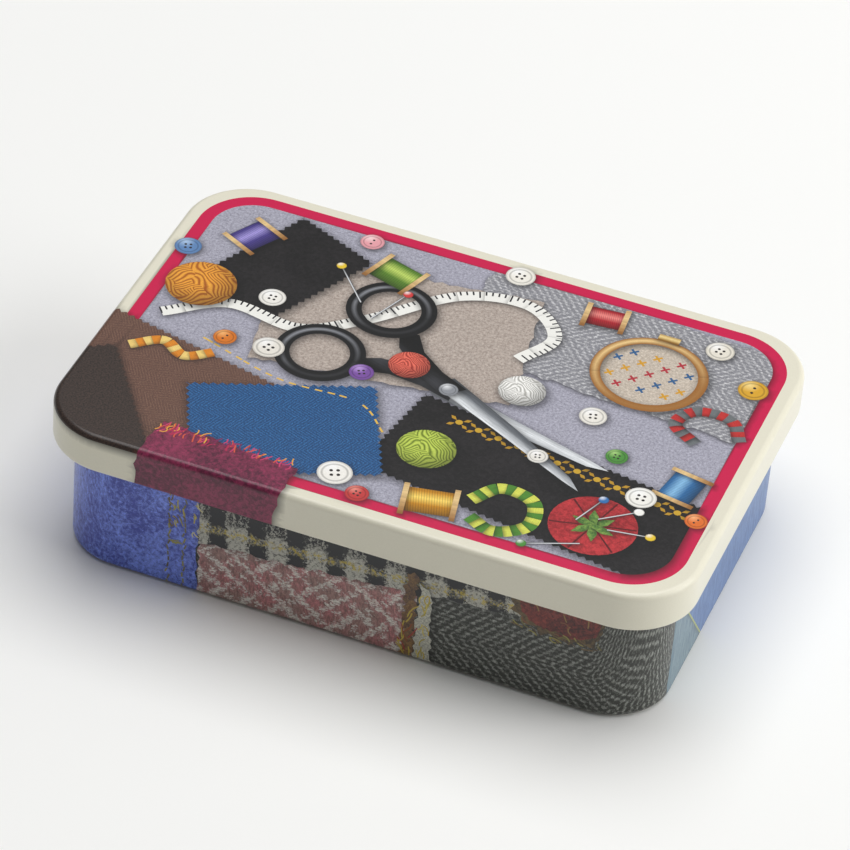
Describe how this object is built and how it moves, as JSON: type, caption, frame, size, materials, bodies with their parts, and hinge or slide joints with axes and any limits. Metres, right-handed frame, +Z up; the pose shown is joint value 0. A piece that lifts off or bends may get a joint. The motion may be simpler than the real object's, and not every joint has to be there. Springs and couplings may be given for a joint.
{
  "type": "hinged pocket tin",
  "caption": "Shallow rectangular tin box with rounded corners, a drawn tray and an overhanging lid that opens on a tongue hinge at the back.",
  "frame": {"origin": "centre of the footprint, on the plane that the tin stands on", "axes": "+X along the long side, +Y towards the hinge at the back, +Z up"},
  "size_m": [0.095, 0.0649, 0.0247],
  "materials": {
    "printed_tray": "lithographed tinplate with a satin varnish, plain lacquer inside and underneath",
    "printed_lid": "lithographed tinplate with a satin varnish, plain lacquer inside"
  },
  "bodies": {
    "tray": {"tin_tray": "printed_tray"},
    "lid": {"tin_lid": "printed_lid"}
  },
  "joints": [
    {"name": "lid_hinge", "type": "hinge", "parent": "tray", "child": "lid", "pos_m": [0, 0.03165, 0.01915], "axis": [-1, 0, 0], "range_deg": [0, 105]}
  ]
}
